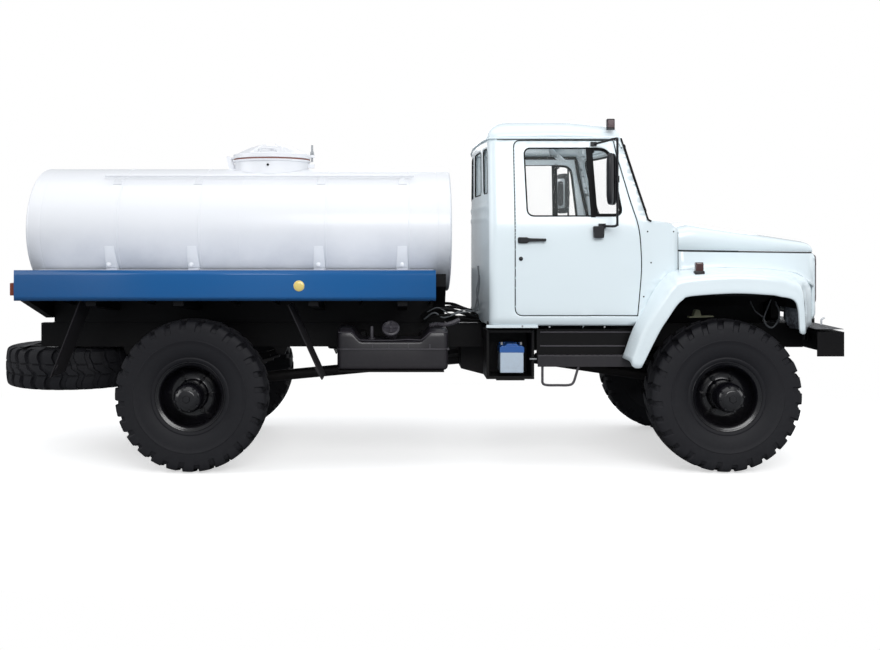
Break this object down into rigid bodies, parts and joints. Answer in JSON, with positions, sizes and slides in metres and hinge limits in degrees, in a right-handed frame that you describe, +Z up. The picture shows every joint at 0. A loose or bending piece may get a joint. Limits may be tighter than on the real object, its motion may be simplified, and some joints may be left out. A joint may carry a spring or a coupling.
{
  "type": "street washer tank truck",
  "caption": "Bonneted four-wheel-drive truck with a hollow cab, opening doors and hood, steered front wheels, an elliptical water tank with a hinged manhole lid and blue side skirts.",
  "frame": {"origin": "middle of the truck's length and width, on the ground", "axes": "+X forward, +Y to the truck's left, +Z up"},
  "size_m": [6.2668, 2.4842, 2.571],
  "materials": {
    "cab_paint": "gloss",
    "tank_paint": "satin",
    "skirt_paint": "satin",
    "chassis_paint": "satin",
    "wheel_paint": "gloss",
    "cast_iron": "rough",
    "tyre": "matt",
    "glass": "clear",
    "black_plastic": "matt",
    "battery_case": "satin",
    "seat_fabric": "woven",
    "lamp_plastic": "gloss",
    "rubber": "matt"
  },
  "bodies": {
    "chassis": {"frame_rails": "chassis_paint", "cross_members": "chassis_paint", "leaf_springs": "cast_iron", "front_axle": "cast_iron", "rear_axle": "cast_iron", "engine": "cast_iron", "radiator": "chassis_paint", "driveline": "cast_iron", "exhaust": "cast_iron", "front_bumper": "chassis_paint", "fuel_tanks": "chassis_paint", "side_steps": "chassis_paint", "battery_box": "chassis_paint", "battery": "battery_case", "mudguards": "rubber", "deck_frame": "chassis_paint", "side_skirts": "skirt_paint", "deck_plates": "tank_paint", "tank_shell": "tank_paint", "manhole_neck": "tank_paint", "tank_bands": "tank_paint", "tank_saddles": "tank_paint", "shoulder_rails": "tank_paint", "outlet_pipe": "tank_paint", "spare_tyre": "tyre", "spare_rim": "wheel_paint", "cab_roof": "cab_paint", "cab_floor": "cab_paint", "cab_rear_wall": "cab_paint", "cab_front": "cab_paint", "cab_glass": "glass", "dashboard": "black_plastic", "seats": "seat_fabric", "seat_bases": "black_plastic", "wings": "cab_paint", "front_panel": "cab_paint", "grille": "black_plastic", "lamps": "lamp_plastic"},
    "hood": {"hood": "cab_paint"},
    "manhole_lid": {"manhole_lid": "tank_paint"},
    "door_right": {"door_right": "cab_paint", "door_glass_right": "glass", "mirror_right": "black_plastic"},
    "door_left": {"door_left": "cab_paint", "door_glass_left": "glass", "mirror_left": "black_plastic"},
    "knuckle_right": {"knuckle_right": "cast_iron"},
    "knuckle_left": {"knuckle_left": "cast_iron"},
    "tie_rod": {"tie_rod": "chassis_paint"},
    "steering_wheel": {"steering_wheel": "black_plastic"},
    "wheel_front_right": {"tyre_front_right": "tyre", "rim_front_right": "wheel_paint"},
    "wheel_front_left": {"tyre_front_left": "tyre", "rim_front_left": "wheel_paint"},
    "wheel_rear_right": {"tyre_rear_right": "tyre", "rim_rear_right": "wheel_paint"},
    "wheel_rear_left": {"tyre_rear_left": "tyre", "rim_rear_left": "wheel_paint"}
  },
  "joints": [
    {"name": "steer_right", "type": "hinge", "parent": "chassis", "child": "knuckle_right", "pos_m": [2.2635, -0.72, 0.54], "axis": [0, 0, 1], "range_deg": [-28, 28]},
    {"name": "steer_left", "type": "hinge", "parent": "chassis", "child": "knuckle_left", "pos_m": [2.2635, 0.72, 0.54], "axis": [0, 0, 1], "range_deg": [-28, 28]},
    {"name": "tie_rod_slide", "type": "slide", "parent": "chassis", "child": "tie_rod", "axis": [0, 1, 0], "range_m": [-0.094, 0.094]},
    {"name": "steering_wheel_turn", "type": "hinge", "parent": "chassis", "child": "steering_wheel", "pos_m": [1.3235, 0.42, 1.7], "axis": [-0.5, 0, 0.866], "range_deg": [-504, 504]},
    {"name": "door_right_hinge", "type": "hinge", "parent": "chassis", "child": "door_right", "pos_m": [1.6745, -1.004, 1.4], "axis": [0, 0, 1], "range_deg": [0, 65]},
    {"name": "door_left_hinge", "type": "hinge", "parent": "chassis", "child": "door_left", "pos_m": [1.6745, 1.004, 1.4], "axis": [0, 0, -1], "range_deg": [0, 65]},
    {"name": "hood_hinge", "type": "hinge", "parent": "chassis", "child": "hood", "pos_m": [1.9415, 0, 1.745], "axis": [0, -1, 0], "range_deg": [0, 50]},
    {"name": "lid_hinge", "type": "hinge", "parent": "chassis", "child": "manhole_lid", "pos_m": [-1.3885, 0, 2.29], "axis": [0, -1, 0], "range_deg": [0, 105]},
    {"name": "wheel_front_right_spin", "type": "hinge", "parent": "knuckle_right", "child": "wheel_front_right", "pos_m": [2.2635, -0.91, 0.54], "axis": [0, 1, 0], "continuous": true},
    {"name": "wheel_front_left_spin", "type": "hinge", "parent": "knuckle_left", "child": "wheel_front_left", "pos_m": [2.2635, 0.91, 0.54], "axis": [0, 1, 0], "continuous": true},
    {"name": "wheel_rear_right_spin", "type": "hinge", "parent": "chassis", "child": "wheel_rear_right", "pos_m": [-1.5065, -0.91, 0.54], "axis": [0, 1, 0], "continuous": true},
    {"name": "wheel_rear_left_spin", "type": "hinge", "parent": "chassis", "child": "wheel_rear_left", "pos_m": [-1.5065, 0.91, 0.54], "axis": [0, 1, 0], "continuous": true}
  ],
  "couplings": [
    {"joint": "steer_left", "follows": "steer_right", "ratio": 1},
    {"joint": "tie_rod_slide", "follows": "steer_right", "m_per_rad": -0.19},
    {"joint": "steering_wheel_turn", "follows": "steer_right", "ratio": 18}
  ]
}
